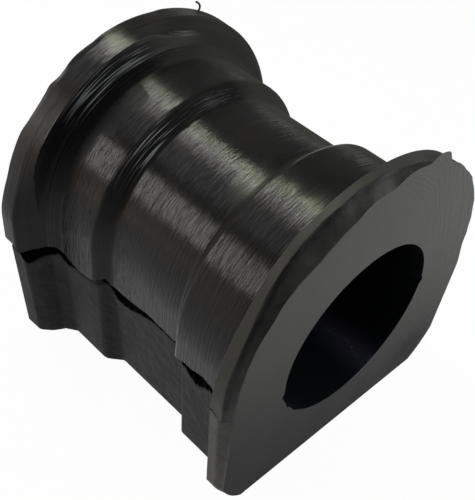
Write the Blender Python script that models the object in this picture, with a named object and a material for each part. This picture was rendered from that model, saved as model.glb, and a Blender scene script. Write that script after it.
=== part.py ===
"""Sway bar bushing: one moulded rubber piece with a round bore and a D-shaped body.

The bar passes through the bore along X. A clamp sits in the groove between the two flanges and
presses the flat base onto its seat. The origin is on the base, right under the bore's axis, with
+Z up. All sizes below are in millimetres and are turned into metres where the meshes are made.

The two mould halves meet a little below the bore's axis. The upper half was moulded slightly to
one side of the lower one, which leaves a ledge along each side, and the joint line is torn open in
three places on the -Y side. The +X end was trimmed with a knife, so its rim is cut back unevenly.
"""

import math

import bmesh
import bpy

MM = 0.001

# Overall sizes
LENGTH = 50.4
BORE_RADIUS = 15.0
AXIS_HEIGHT = 24.8

# Upper mould half: a half-round arch
ARCH_RADIUS = 27.0
ARCH_RISE = 2.0
ARCH_SHIFT = -1.3

# Lower mould half: straight sides and a flat base, with the front flange's corners cut off
SIDE_HALF_WIDTH = 27.2
SIDE_SHIFT = -0.1
CORNER_WIDTH = 4.4
CORNER_HEIGHT = 6.2
SMALL_CORNER = 0.8

# The -Y side as it came out of the mould: drawn in at the base, and wider at the rear than in front
LEFT_DRAFT = 1.2
LEFT_TAPER_WIDTH = 1.8
REAR_FLARE = 0.9
FLARE_START = 162.0
FRONT_LEAN = 1.8
LEAN_START = 122.0
LEAN_FULL = 152.0

# The soft step on the +Y side, from the end of the arch down to the lower half
STEP_TOP_ANGLE = 5.0
STEP_FOOT = -3.0

# Depth of each level below the rim of the flanges
RIM_DROP = 0.15
BEVEL_DROP = 1.6
STEP_DROP = 3.6
SHOULDER_DROP = 5.1
GROOVE_DROP = 7.25

# Lengths along the bore, from the rear end to the front end
REAR_RIM = 3.5
REAR_BEVEL = 1.4
REAR_STEP = 1.0
REAR_SLOPE = 2.0
REAR_SHOULDER = 8.3
GROOVE_WALL = 2.3
FRONT_SHOULDER = 8.8
FRONT_SLOPE = 2.3
FRONT_RIM = 1.5
TRIM_LENGTH = 1.6

# Rounding radii of the lengthwise profile
END_ROUND = 0.5
RIM_ROUND = 0.5
STEP_ROUND = 0.3
CREASE_ROUND = 0.7
SHOULDER_ROUND = 1.4
GROOVE_ROUND = 1.0

# The knife cut at the front end: how far it reaches in, and where it starts and is full
TRIM_DEPTH = 3.0
TRIM_START = 82.0
TRIM_FULL = 114.0
SIDE_TRIM = 1.6
SIDE_TRIM_FOOT = 0.5

# The small peak of flash that the knife left on the front edge
PEAK_ANGLE = 67.5
PEAK_HEIGHT = 1.3
PEAK_WIDTH = 3.2

# Height of the joint line, as (distance along the bore, height over the bore's axis)
SEAM_ROUTE = ((-0.50, -3.3), (-0.33, -3.6), (-0.22, -4.5), (-0.165, -3.6), (0.13, -2.8),
              (0.28, -1.8), (0.36, -0.9), (0.45, 0.3), (0.50, 0.3))

# Tears along the joint line: from, widest place and to, along the bore, with height and depth
REAR_TEAR = (-0.52, -0.38, -0.29, 2.6, 2.2)
GROOVE_TEAR = (-0.165, -0.085, 0.10, 1.7, 1.5)
FRONT_TEAR = (0.21, 0.335, 0.43, 1.7, 1.5)
TEAR_REACH = 6.0
TEAR_END_HEIGHT = 0.05
TEAR_END_DEPTH = 0.1

# Nicks at the mouth of the bore, where the mould's core left its own joint line
NICK_ANGLES = (5.0, -163.0)
NICK_DEPTH = 0.6
NICK_WIDTH = 2.0
NICK_LENGTH = 1.4

# Facets
SIDE_FALLS = (0.0, 0.5, 1.0)
ARCH_STEPS = 48
BORE_STEPS = 72
BASE_STEPS = 8
ROUND_STEPS = 3
TEAR_STEPS = 12
CUT_OVERLAP = 2.0

RUBBER_COLOUR = (0.022, 0.022, 0.023, 1.0)
RUBBER_ROUGHNESS = 0.42


def smooth(value, low, high):
    """Ease from 0 at low to 1 at high."""
    share = min(max((value - low) / (high - low), 0.0), 1.0)
    return share * share * (3.0 - 2.0 * share)


def read_between(points, place):
    """Height of a line through (place, height) points."""
    for (x0, z0), (x1, z1) in zip(points, points[1:]):
        if place <= x1:
            return z0 + (z1 - z0) * max(place - x0, 0.0) / (x1 - x0)
    return points[-1][1]


def seam_height(x):
    """Height of the joint line over the bore's axis."""
    return read_between(SEAM_ROUTE, x / LENGTH)


def profile_corners():
    """Corners of the lengthwise profile, as (x, drop below the rim, rounding radius)."""
    rear, front = -LENGTH / 2, LENGTH / 2
    rear_rim = rear + REAR_RIM
    bevel_end = rear_rim + REAR_BEVEL
    step_end = bevel_end + REAR_STEP
    rear_crease = step_end + REAR_SLOPE
    rear_edge = rear_crease + REAR_SHOULDER
    front_rim = front - TRIM_LENGTH - FRONT_RIM
    front_crease = front_rim - FRONT_SLOPE
    front_edge = front_crease - FRONT_SHOULDER
    return [
        (rear, END_ROUND, 0.0),
        (rear + END_ROUND, 0.0, 0.0),
        (rear_rim, RIM_DROP, STEP_ROUND),
        (bevel_end, BEVEL_DROP, STEP_ROUND),
        (step_end, STEP_DROP, STEP_ROUND),
        (rear_crease, SHOULDER_DROP, CREASE_ROUND),
        (rear_edge, SHOULDER_DROP, SHOULDER_ROUND),
        (rear_edge + GROOVE_WALL, GROOVE_DROP, GROOVE_ROUND),
        (front_edge - GROOVE_WALL, GROOVE_DROP, GROOVE_ROUND),
        (front_edge, SHOULDER_DROP, SHOULDER_ROUND),
        (front_crease, SHOULDER_DROP, CREASE_ROUND),
        (front_rim, RIM_DROP, RIM_ROUND),
        (front - TRIM_LENGTH, 0.0, 0.0),
        (front, 0.0, 0.0),
    ]


def round_corner(before, corner, after, radius):
    """Points of the arc that rounds one corner of the profile."""
    x, y = corner
    ax, ay = before[0] - x, before[1] - y
    bx, by = after[0] - x, after[1] - y
    a_length, b_length = math.hypot(ax, ay), math.hypot(bx, by)
    ax, ay, bx, by = ax / a_length, ay / a_length, bx / b_length, by / b_length
    half = math.acos(max(-1.0, min(1.0, ax * bx + ay * by))) / 2
    back = min(radius / math.tan(half), 0.45 * a_length, 0.45 * b_length)
    radius = back * math.tan(half)
    mid_x, mid_y = ax + bx, ay + by
    scale = radius / math.sin(half) / math.hypot(mid_x, mid_y)
    cx, cy = x + mid_x * scale, y + mid_y * scale
    start = math.atan2(y + ay * back - cy, x + ax * back - cx)
    turn = math.atan2(y + by * back - cy, x + bx * back - cx) - start
    turn = (turn + math.pi) % math.tau - math.pi
    return [(cx + radius * math.cos(start + turn * k / ROUND_STEPS),
             cy + radius * math.sin(start + turn * k / ROUND_STEPS)) for k in range(ROUND_STEPS + 1)]


def profile():
    """The lengthwise profile as (x, drop) points, with its corners rounded."""
    corners = profile_corners()
    points = [corners[0][:2]]
    for before, (x, drop, radius), after in zip(corners, corners[1:], corners[2:]):
        if radius:
            points += round_corner(before, (x, drop), after, radius)
        else:
            points.append((x, drop))
    points.append(corners[-1][:2])
    return points


def trim_share(x):
    """How much of the knife's cut there is at x: 0 behind it and 1 at the front end."""
    return smooth(x, LENGTH / 2 - TRIM_LENGTH, LENGTH / 2)


def flange_share(drop):
    """1 on the rim of a flange and 0 on the shoulders and in the groove."""
    return 1.0 - min(drop / SHOULDER_DROP, 1.0)


def arch_radius(x, drop, angle):
    """Radius of the upper half at one angle, in degrees from +Y, with the knife's cut and flash."""
    if x > 0:
        change = -FRONT_LEAN * smooth(angle, LEAN_START, LEAN_FULL)
    else:
        change = REAR_FLARE * smooth(angle, FLARE_START, 180.0)
    moulded = ARCH_RADIUS - drop + change * flange_share(drop)
    peak = PEAK_HEIGHT * max(0.0, 1.0 - abs(angle - PEAK_ANGLE) / PEAK_WIDTH)
    cut = ARCH_RADIUS - TRIM_DEPTH * smooth(angle, TRIM_START, TRIM_FULL) + peak
    share = trim_share(x)
    return moulded + (cut - moulded) * share


def side_place(x, drop, fall, left):
    """Y of one side of the lower half; fall goes from 0 at the joint line to 1 at the corner."""
    width = SIDE_HALF_WIDTH - drop
    if not left:
        return SIDE_SHIFT + width
    width -= LEFT_TAPER_WIDTH * x / LENGTH + LEFT_DRAFT * fall
    width -= (SIDE_TRIM + (SIDE_TRIM_FOOT - SIDE_TRIM) * fall) * trim_share(x)
    return SIDE_SHIFT - width


def lower_side(x, drop, left):
    """One side of the lower half, from the joint line down to the base, as (y, z) points."""
    sign = -1.0 if left else 1.0
    share = flange_share(drop) if x > 0 else 0.0
    width = max(SMALL_CORNER, CORNER_WIDTH * share)
    height = max(SMALL_CORNER, CORNER_HEIGHT * share)
    top = seam_height(x) if left else STEP_FOOT
    bottom = -AXIS_HEIGHT
    knee = bottom + height
    sides = [(side_place(x, drop, fall, left), top + (knee - top) * fall) for fall in SIDE_FALLS]
    y = sides[-1][0]
    foot = (y - sign * width, bottom)
    rounding = 0.3 * min(width, height)
    upper_knee = round_corner(sides[0], (y, knee), foot, rounding)
    lower_knee = round_corner((y, knee), foot, (0.0, bottom), rounding)
    return sides[:-1] + upper_knee + lower_knee


def section(x, drop):
    """The closed outline at x, round the bore's axis, as (y, z) points."""
    right = lower_side(x, drop, False)
    left = lower_side(x, drop, True)
    start, end = right[-1][0], left[-1][0]
    base = [(start + (end - start) * k / BASE_STEPS, -AXIS_HEIGHT) for k in range(1, BASE_STEPS)]
    arch = []
    for k in range(ARCH_STEPS + 1):
        angle = 180.0 + (STEP_TOP_ANGLE - 180.0) * k / ARCH_STEPS
        radius = arch_radius(x, drop, angle)
        turn = math.radians(angle)
        arch.append((ARCH_SHIFT + radius * math.cos(turn), ARCH_RISE + radius * math.sin(turn)))
    ledge = [(arch[0][0], seam_height(x))]
    return right + base + left[::-1] + ledge + arch


def make_object(name, mesh_data, collection):
    """Turn a bmesh into an object in a collection, with its faces pointing out."""
    bmesh.ops.recalc_face_normals(mesh_data, faces=mesh_data.faces)
    mesh = bpy.data.meshes.new(name)
    mesh_data.to_mesh(mesh)
    mesh_data.free()
    item = bpy.data.objects.new(name, mesh)
    collection.objects.link(item)
    return item


def loft(rings):
    """Join rings of equal length, and close both ends with one flat face each."""
    body = bmesh.new()
    loops = [[body.verts.new([value * MM for value in point]) for point in ring] for ring in rings]
    for first, second in zip(loops, loops[1:]):
        count = len(first)
        for k in range(count):
            body.faces.new((first[k], first[(k + 1) % count], second[(k + 1) % count], second[k]))
    body.faces.new(loops[0])
    body.faces.new(loops[-1])
    return body


def make_body(collection):
    """The moulded piece before its bore is cut, standing on its base."""
    rings = [[(x, y, z + AXIS_HEIGHT) for y, z in section(x, drop)] for x, drop in profile()]
    return make_object("bushing", loft(rings), collection)


def mark_cutter(item):
    """Show an object as a guide that is left out of the part."""
    item.hide_render = True
    item.display_type = "WIRE"
    return item


def make_bore(collection):
    """Cutter for the round bore, right through both ends."""
    bore = bmesh.new()
    bmesh.ops.create_cone(bore, cap_ends=True, segments=BORE_STEPS, radius1=BORE_RADIUS * MM,
                          radius2=BORE_RADIUS * MM, depth=(LENGTH + 2 * CUT_OVERLAP) * MM)
    item = make_object("bore_cutter", bore, collection)
    item.location = (0.0, 0.0, AXIS_HEIGHT * MM)
    item.rotation_euler = (0.0, math.pi / 2, 0.0)
    return mark_cutter(item)


def surface_drop(x):
    """Drop of the lengthwise profile at x."""
    points = profile()
    return read_between(points, min(max(x, points[0][0]), points[-1][0]))


def make_tear(name, tear, collection):
    """Cutter for one tear along the joint line on the -Y side, wide outside and narrow inside."""
    first, widest, last, height, depth = tear
    rings = []
    for k in range(TEAR_STEPS + 1):
        x = (first + (last - first) * k / TEAR_STEPS) * LENGTH
        place = x / LENGTH
        open_share = min((place - first) / (widest - first), (last - place) / (last - widest), 1.0)
        gap = TEAR_END_HEIGHT + height * smooth(open_share, 0.0, 1.0)
        top = AXIS_HEIGHT + seam_height(x) + 0.12 * height
        skin = side_place(x, surface_drop(x), 0.0, True)
        inner = skin + TEAR_END_DEPTH + depth * smooth(open_share, 0.0, 0.6)
        outer = skin - TEAR_REACH
        rings.append([(x, outer, top), (x, outer, top - gap), (x, inner, top - 0.75 * gap),
                      (x, inner, top - 0.35 * gap)])
    return mark_cutter(make_object(name, loft(rings), collection))


def make_nick(name, angle, collection):
    """Cutter for one nick in the mouth of the bore."""
    nick = bmesh.new()
    bmesh.ops.create_cone(nick, cap_ends=True, segments=4, radius1=NICK_WIDTH * MM / 2,
                          radius2=NICK_WIDTH * MM / 4, depth=2 * NICK_LENGTH * MM)
    item = make_object(name, nick, collection)
    turn = math.radians(angle)
    reach = BORE_RADIUS + NICK_DEPTH - NICK_WIDTH / 2
    item.location = (LENGTH / 2 * MM, reach * math.cos(turn) * MM,
                     (AXIS_HEIGHT + reach * math.sin(turn)) * MM)
    item.rotation_euler = (turn, -math.pi / 2, 0.0)
    return mark_cutter(item)


def make_rubber():
    """Black moulded rubber with a soft shine."""
    material = bpy.data.materials.new("black_rubber")
    material.use_nodes = True
    shader = material.node_tree.nodes["Principled BSDF"]
    shader.inputs["Base Color"].default_value = RUBBER_COLOUR
    shader.inputs["Roughness"].default_value = RUBBER_ROUGHNESS
    shader.inputs["Metallic"].default_value = 0.0
    material.diffuse_color = RUBBER_COLOUR
    return material


def new_collection(name):
    """A collection linked to the scene."""
    collection = bpy.data.collections.new(name)
    bpy.context.scene.collection.children.link(collection)
    return collection


def main():
    """Build the bushing and its cutters."""
    for item in list(bpy.data.objects):
        bpy.data.objects.remove(item, do_unlink=True)
    parts = new_collection("sway_bar_bushing")
    guides = new_collection("cutters")

    bushing = make_body(parts)
    cutters = [make_bore(guides)]
    tears = {"rear_tear": REAR_TEAR, "groove_tear": GROOVE_TEAR, "front_tear": FRONT_TEAR}
    for name, tear in tears.items():
        cutters.append(make_tear(name, tear, guides))
    for side, angle in zip(("right_nick", "left_nick"), NICK_ANGLES):
        cutters.append(make_nick(side, angle, guides))
    for cutter in cutters:
        cut = bushing.modifiers.new(cutter.name, "BOOLEAN")
        cut.operation = "DIFFERENCE"
        cut.solver = "EXACT"
        cut.object = cutter

    bushing.data.materials.append(make_rubber())
    bushing.data.shade_smooth()
    bushing.data.set_sharp_from_angle(angle=math.radians(30.0))


main()
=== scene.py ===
"""Sway bar bushing in worn black rubber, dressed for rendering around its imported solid.

The moulded block is one mesh, made by a Geometry Nodes tree, and a thin thread of flash on its rear rim is
a second piece. The tree bends a closed grid into the block: its rows run round the D-shaped section, and
its rings run along the outside from the rear end to the front end, over the front face, back through the
bore and over the rear face. Sizes are in millimetres from the bore's axis at mid-length, and angles on the
outside are in degrees from +Y about the arch's centre.
"""

import logging
import math
from dataclasses import dataclass, fields
from enum import Enum
from functools import reduce
from typing import Optional, Union

import bpy
from mathutils import Matrix, Vector

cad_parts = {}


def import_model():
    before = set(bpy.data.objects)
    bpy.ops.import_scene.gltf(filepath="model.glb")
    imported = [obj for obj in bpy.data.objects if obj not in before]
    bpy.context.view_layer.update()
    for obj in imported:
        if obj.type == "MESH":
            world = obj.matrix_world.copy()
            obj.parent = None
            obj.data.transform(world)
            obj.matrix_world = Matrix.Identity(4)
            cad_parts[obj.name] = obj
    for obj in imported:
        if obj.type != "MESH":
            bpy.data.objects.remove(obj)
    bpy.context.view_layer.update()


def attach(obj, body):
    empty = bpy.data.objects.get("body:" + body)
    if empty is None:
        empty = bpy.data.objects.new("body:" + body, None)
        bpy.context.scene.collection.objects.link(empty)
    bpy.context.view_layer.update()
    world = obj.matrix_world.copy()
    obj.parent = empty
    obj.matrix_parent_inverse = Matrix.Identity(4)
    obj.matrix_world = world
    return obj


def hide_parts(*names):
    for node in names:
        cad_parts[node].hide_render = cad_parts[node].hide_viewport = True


LOG = logging.getLogger("bushing")
MM = 0.001
BODY = "root"
WHITE = (1.0, 1.0, 1.0, 1.0)
TOP_WAY = (-0.58, -0.03, 0.81)
LEFT_WAY = (-0.57, -0.68, 0.47)

Route = tuple[tuple[float, float], ...]
Reach = tuple[float, float]
Band = tuple[float, float, float, float]
Colour = tuple[float, float, float]


class Value:
    """A socket of a node tree, on which Python's operators add Math nodes."""

    def __init__(self, graph: "Graph", socket: bpy.types.NodeSocket) -> None:
        """Wrap one output socket of a graph."""
        self.graph = graph
        self.socket = socket

    def math(self, operation: str, *others: "Number") -> "Value":
        """A Math node's result, with this value as its first one and the others after it."""
        return self.graph.math(operation, self, *others)

    def __add__(self, other: "Number") -> "Value":
        """Sum of two values."""
        return self.math("ADD", other)

    def __radd__(self, other: "Number") -> "Value":
        """Sum with a number on the left."""
        return self.graph.math("ADD", other, self)

    def __sub__(self, other: "Number") -> "Value":
        """Difference of two values."""
        return self.math("SUBTRACT", other)

    def __rsub__(self, other: "Number") -> "Value":
        """Difference with a number on the left."""
        return self.graph.math("SUBTRACT", other, self)

    def __mul__(self, other: "Number") -> "Value":
        """Product of two values."""
        return self.math("MULTIPLY", other)

    def __rmul__(self, other: "Number") -> "Value":
        """Product with a number on the left."""
        return self.graph.math("MULTIPLY", other, self)

    def __truediv__(self, other: "Number") -> "Value":
        """Quotient of two values."""
        return self.math("DIVIDE", other)

    def __rtruediv__(self, other: "Number") -> "Value":
        """Quotient with a number on the left."""
        return self.graph.math("DIVIDE", other, self)

    def __neg__(self) -> "Value":
        """The value with its sign turned."""
        return self.graph.math("SUBTRACT", 0.0, self)

    def __gt__(self, other: "Number") -> "Value":
        """1 where this value is the larger one, and 0 elsewhere."""
        return self.math("GREATER_THAN", other)

    def __lt__(self, other: "Number") -> "Value":
        """1 where this value is the smaller one, and 0 elsewhere."""
        return self.math("LESS_THAN", other)

    def held(self) -> "Value":
        """The value kept between 0 and 1."""
        return self.math("MINIMUM", 1.0).math("MAXIMUM", 0.0)

    def eased(self, low: float, high: float) -> "Value":
        """A share that eases from 0 at the low value to 1 at the high one."""
        settings = {"interpolation_type": "SMOOTHSTEP"}
        return self.graph.node("ShaderNodeMapRange", settings, {0: self, 1: low, 2: high, 3: 0.0, 4: 1.0})

    def within(self, band: Band) -> "Value":
        """1 between a band's two middle values, eased to 0 at its first and its last one."""
        start, full, fading, end = band
        return self.eased(start, full) * (1.0 - self.eased(fading, end))

    def hump(self, middle: "Number", width: float) -> "Value":
        """A bell-shaped bump: 1 at the middle, and about a third at one width from there."""
        off = (self - middle) / width
        return self.graph.math("EXPONENT", -(off * off))

    def other(self, name: str) -> "Value":
        """Another output of the same node."""
        return Value(self.graph, self.socket.node.outputs[name])

    def along(self, route: Route) -> "Value":
        """Read a route of straight stretches at this value.

        Args:
            route: (place, height) pairs with rising places.

        Returns:
            The height at this value's place.
        """
        places = [place for place, _ in route]
        heights = [height for _, height in route]
        start, run = places[0], places[-1] - places[0]
        foot, rise = min(heights), max(max(heights) - min(heights), 1e-6)
        points = [((place - start) / run, (height - foot) / rise) for place, height in route]
        share = ((self - start) / run).held()
        return self.graph.node("ShaderNodeFloatCurve", {"points": points}, {1: share}) * rise + foot


Number = Union[Value, float]


class Graph:
    """Adds nodes to one node tree."""

    def __init__(self, tree: bpy.types.NodeTree) -> None:
        """Start work on a tree."""
        self.tree = tree

    def node(self, kind: str, settings: Optional[dict] = None, sockets: Optional[dict] = None,
             out: Union[int, str] = 0) -> Value:
        """Add any node.

        Args:
            kind: The node's type.
            settings: Its properties, or a curve's points, which are set first.
            sockets: What its input sockets take, by name or place.
            out: The output socket that is wanted.

        Returns:
            That output socket.
        """
        node = self.tree.nodes.new(kind)
        for name, setting in (settings or {}).items():
            if name == "points":
                self._set_points(node.mapping, setting)
            else:
                setattr(node, name, setting)
        self.feed(node, sockets or {})
        return Value(self, node.outputs[out])

    def feed(self, node: bpy.types.Node, sockets: dict) -> None:
        """Fill a node's input sockets.

        Args:
            node: The node.
            sockets: Numbers, vectors, materials or values, by the socket's name or place.
        """
        for key, value in sockets.items():
            if isinstance(value, Value):
                self.tree.links.new(value.socket, node.inputs[key])
            else:
                node.inputs[key].default_value = value

    def cover(self, share: Value, shader: Value) -> None:
        """Lay a second shader over a material's own one.

        Args:
            share: 1 where only the second shader shows, and 0 where it doesn't show.
            shader: The second shader.
        """
        own = Value(self, self.tree.nodes["Principled BSDF"].outputs[0])
        mixed = self.node("ShaderNodeMixShader", None, {0: share, 1: own, 2: shader})
        self.feed(self.tree.nodes["Material Output"], {"Surface": mixed})

    @staticmethod
    def _set_points(mapping: bpy.types.CurveMapping, points: list) -> None:
        """Set a curve's points, joined by straight stretches.

        Args:
            mapping: The curve.
            points: Its points, each from 0 to 1 both ways.
        """
        curve = mapping.curves[0]
        while len(curve.points) < len(points):
            curve.points.new(0.5, 0.5)
        for point, place in zip(curve.points, points):
            point.location = place
            point.handle_type = "VECTOR"
        mapping.update()

    def math(self, operation: str, *values: Number) -> Value:
        """The result of a Math node."""
        return self.node("ShaderNodeMath", {"operation": operation}, dict(enumerate(values)))

    def choose(self, share: Number, first: Number, second: Number) -> Value:
        """Blend two values: share 0 gives the first and share 1 the second."""
        return self.node("ShaderNodeMix", {"data_type": "FLOAT"}, {0: share, 2: first, 3: second})

    def tint(self, share: Number, first: Union[Value, Colour], second: Union[Value, Colour]) -> Value:
        """Blend two colours: share 0 gives the first and share 1 the second."""
        pair = [item if isinstance(item, Value) else (*item, 1.0) for item in (first, second)]
        return self.node("ShaderNodeMix", {"data_type": "RGBA"}, {0: share, 6: pair[0], 7: pair[1]}, 2)

    def vector(self, x: Number, y: Number, z: Number) -> Value:
        """Join three values into a vector."""
        return self.node("ShaderNodeCombineXYZ", None, {0: x, 1: y, 2: z})

    def grain(self, place: Value, scale: float, detail: float, rough: float, seed: float) -> Value:
        """Noise from about -1 to 1: detail says how many finer layers it has, and rough how strong."""
        sockets = {"Vector": place, "W": seed, "Scale": scale, "Detail": detail, "Roughness": rough}
        return self.node("ShaderNodeTexNoise", {"noise_dimensions": "4D"}, sockets) * 4.0 - 2.0


class Zone(Enum):
    """Which surface of the block a face of the grid lies on."""

    SKIN = "skin"
    LOWER = "lower"
    TORN = "torn"
    FRONT_FACE = "front_face"
    BORE = "bore"
    REAR_FACE = "rear_face"


@dataclass(frozen=True)
class Sizes:
    """The block's own sizes, each a named input of the tree.

    They are the solid's, apart from the full bevel, which the solid lacks, and the steeper walls and the
    longer shoulder at the front.
    """

    length: float = 50.4
    bore_radius: float = 15.0
    axis_height: float = 24.8
    arch_radius: float = 27.0
    arch_rise: float = 2.0
    arch_shift: float = -1.3
    side_half_width: float = 27.2
    side_shift: float = -0.1
    corner_width: float = 4.4
    corner_height: float = 6.2
    small_corner: float = 0.9
    left_draft: float = 1.2
    left_taper: float = 1.8
    rear_flare: float = 0.9
    front_lean: float = 1.8
    rim_drop: float = 0.15
    bevel_drop: float = 1.6
    full_bevel_drop: float = 0.5
    step_drop: float = 3.6
    shoulder_drop: float = 5.1
    groove_drop: float = 7.25
    rear_rim: float = 3.5
    rear_bevel: float = 1.4
    full_bevel: float = 1.9
    rear_step: float = 1.0
    rear_slope: float = 2.0
    rear_shoulder: float = 8.3
    groove_wall: float = 2.3
    front_groove_wall: float = 1.8
    front_shoulder: float = 10.0
    front_slope: float = 1.1
    front_rim: float = 3.1
    end_round: float = 0.5
    step_foot: float = -3.0


@dataclass(frozen=True)
class Rows:
    """How many rows of the grid each stretch of the section takes, in order round the block."""

    left_wall: int = 12
    arch: int = 118
    step: int = 8
    right_side: int = 18
    right_corner: int = 8
    base: int = 26
    left_corner: int = 8
    left_side: int = 46
    lower_lip: int = 8
    tear_back: int = 6
    upper_lip: int = 8

    def total(self) -> int:
        """Number of rows all round."""
        return sum(getattr(self, item.name) for item in fields(self))

    def start(self, name: str) -> int:
        """First row of one stretch."""
        names = [item.name for item in fields(self)]
        return sum(getattr(self, item) for item in names[:names.index(name)])


@dataclass(frozen=True)
class Rings:
    """How many rings of the grid each surface takes, in order along the block and back."""

    skin: int = 250
    front_face: int = 24
    bore: int = 38
    rear_face: int = 14

    def total(self) -> int:
        """Number of rings all the way round."""
        return self.skin + self.front_face + self.bore + self.rear_face


@dataclass(frozen=True)
class Wear:
    """The marks that the moulding, the knife and the wear left: routes, and bands in which a mark holds."""

    seam: Route = (
        (-25.2, -2.4), (-22.6, -2.4), (-21.3, -3.7), (-20.2, -2.9), (-18.1, -2.7), (-17.4, -3.6),
        (-14.8, -4.1), (-13.0, -4.3), (-10.6, -3.9), (-8.8, -3.3), (-7.5, -2.6), (-6.9, -3.9), (-4.3, -3.9),
        (-0.7, -3.4), (2.1, -2.8), (8.2, -3.0), (11.2, -2.2), (13.2, -1.6), (14.8, -1.6), (17.1, -0.8),
        (18.8, -1.3), (20.2, -2.4), (20.9, -2.4), (21.7, 0.2), (22.4, 0.9), (24.0, -0.2), (25.2, -0.5))
    tear_height: Route = (
        (-25.2, 2.6), (-22.4, 2.8), (-20.6, 3.0), (-19.6, 2.2), (-18.1, 1.6), (-17.7, 2.1), (-16.5, 2.3),
        (-14.8, 1.4), (-13.6, 0.2), (-8.6, 0.1), (-7.6, 1.7), (-6.9, 2.3), (-6.5, 3.5), (-3.7, 3.3),
        (-0.2, 2.7), (2.6, 2.5), (5.5, 2.5), (8.5, 2.6), (9.6, 0.4), (10.6, 0.2), (11.2, 2.7), (12.0, 3.1),
        (12.9, 4.3), (14.4, 5.1), (16.3, 4.5), (18.4, 4.7), (19.5, 3.9), (20.2, 3.4), (20.9, 0.5),
        (25.2, 0.1))
    tear_depth: Route = (
        (-25.2, 3.4), (-18.6, 3.2), (-17.0, 2.4), (-14.6, 1.4), (-13.0, 0.2), (-8.6, 0.2), (-7.6, 1.5),
        (-6.8, 2.6), (-2.0, 2.6), (1.0, 2.0), (5.5, 1.2), (8.5, 0.9), (9.6, 0.2), (10.6, 0.2), (11.4, 1.6),
        (12.4, 3.0), (16.4, 3.2), (18.6, 2.6), (20.2, 1.8), (20.9, 0.3), (25.2, 0.2))
    knife_radius: Route = (
        (0.0, 27.0), (63.5, 27.0), (67.4, 28.4), (72.6, 28.2), (75.6, 26.95), (86.0, 26.5), (92.0, 25.3),
        (100.0, 25.6), (107.0, 24.5), (115.0, 24.2), (122.0, 23.8), (130.0, 24.2), (138.0, 24.3),
        (147.0, 24.0), (155.0, 24.1), (168.0, 23.8), (184.0, 23.6))
    knife_start: Route = (
        (0.0, 25.1), (60.0, 25.0), (80.0, 24.4), (96.0, 23.5), (130.0, 23.4), (160.0, 24.1), (184.0, 24.3))
    bore_turns: Route = ((0.0, 184.0), (0.02, 180.0), (0.47, 5.0), (1.0, -170.0))
    ring_spacing: Route = ((0.0, -25.2), (0.27, -16.6), (0.71, 16.8), (1.0, 25.2))
    rear_chips: Route = (
        (0.0, 0.0), (84.0, 0.0), (87.0, 0.15), (99.0, 0.1), (108.0, 0.2), (112.0, 0.35), (118.0, 0.25),
        (124.0, 0.7), (128.0, 0.8), (131.0, 0.35), (134.0, 0.75), (139.0, 0.8), (144.0, 0.6), (149.0, 0.2),
        (160.0, 0.1), (184.0, 0.1))
    rear_chip_reach: float = 1.7
    mouth_nicks: Route = (
        (-184.0, 0.1), (-170.0, 0.1), (-165.0, 0.75), (-161.0, 0.35), (-152.0, 0.5), (-147.0, 0.15),
        (-138.0, 0.3), (-132.0, 0.05), (-60.0, 0.0), (0.0, 0.0), (4.0, 0.6), (9.0, 0.05), (184.0, 0.1))
    nick_reach: float = 1.3
    full_bevel: Band = (80.0, 100.0, 148.0, 186.0)
    lean_turn: Reach = (122.0, 152.0)
    flare_turn: Reach = (162.0, 180.0)
    knife_cap: float = 1.45
    trim_start: Reach = (23.6, 25.2)
    trim_depth: float = 1.6
    trim_loss: float = 1.1
    ragged: float = 0.22
    chip_spread: float = 0.3
    nick_spread: float = 0.5
    seam_wander: float = 0.18
    tear_floor: float = 0.25
    tear_roof: float = 0.3
    ring_depth: float = 0.07
    ring_width: float = 0.13
    turned: Band = (-19.4, -19.2, -18.2, -17.6)
    turning_marks: float = 0.035
    turning_rate: float = 13.0


def between(first: Value, second: Value, share: Value) -> Value:
    """The value that is a share of the way from the first to the second."""
    return first + (second - first) * share


def keep_mesh(holder: bpy.types.Object, name: str) -> bpy.types.Object:
    """Keep what an object makes as a plain, smooth mesh, and remove the object itself.

    Args:
        holder: The object, with its modifier or its curve.
        name: The name of the kept piece.

    Returns:
        The piece.
    """
    bpy.context.scene.collection.objects.link(holder)
    graph = bpy.context.evaluated_depsgraph_get()
    mesh = bpy.data.meshes.new_from_object(holder.evaluated_get(graph), depsgraph=graph)
    bpy.data.objects.remove(holder, do_unlink=True)
    mesh.name = name
    mesh.shade_smooth()
    piece = bpy.data.objects.new(name, mesh)
    bpy.context.scene.collection.objects.link(piece)
    return piece


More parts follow.
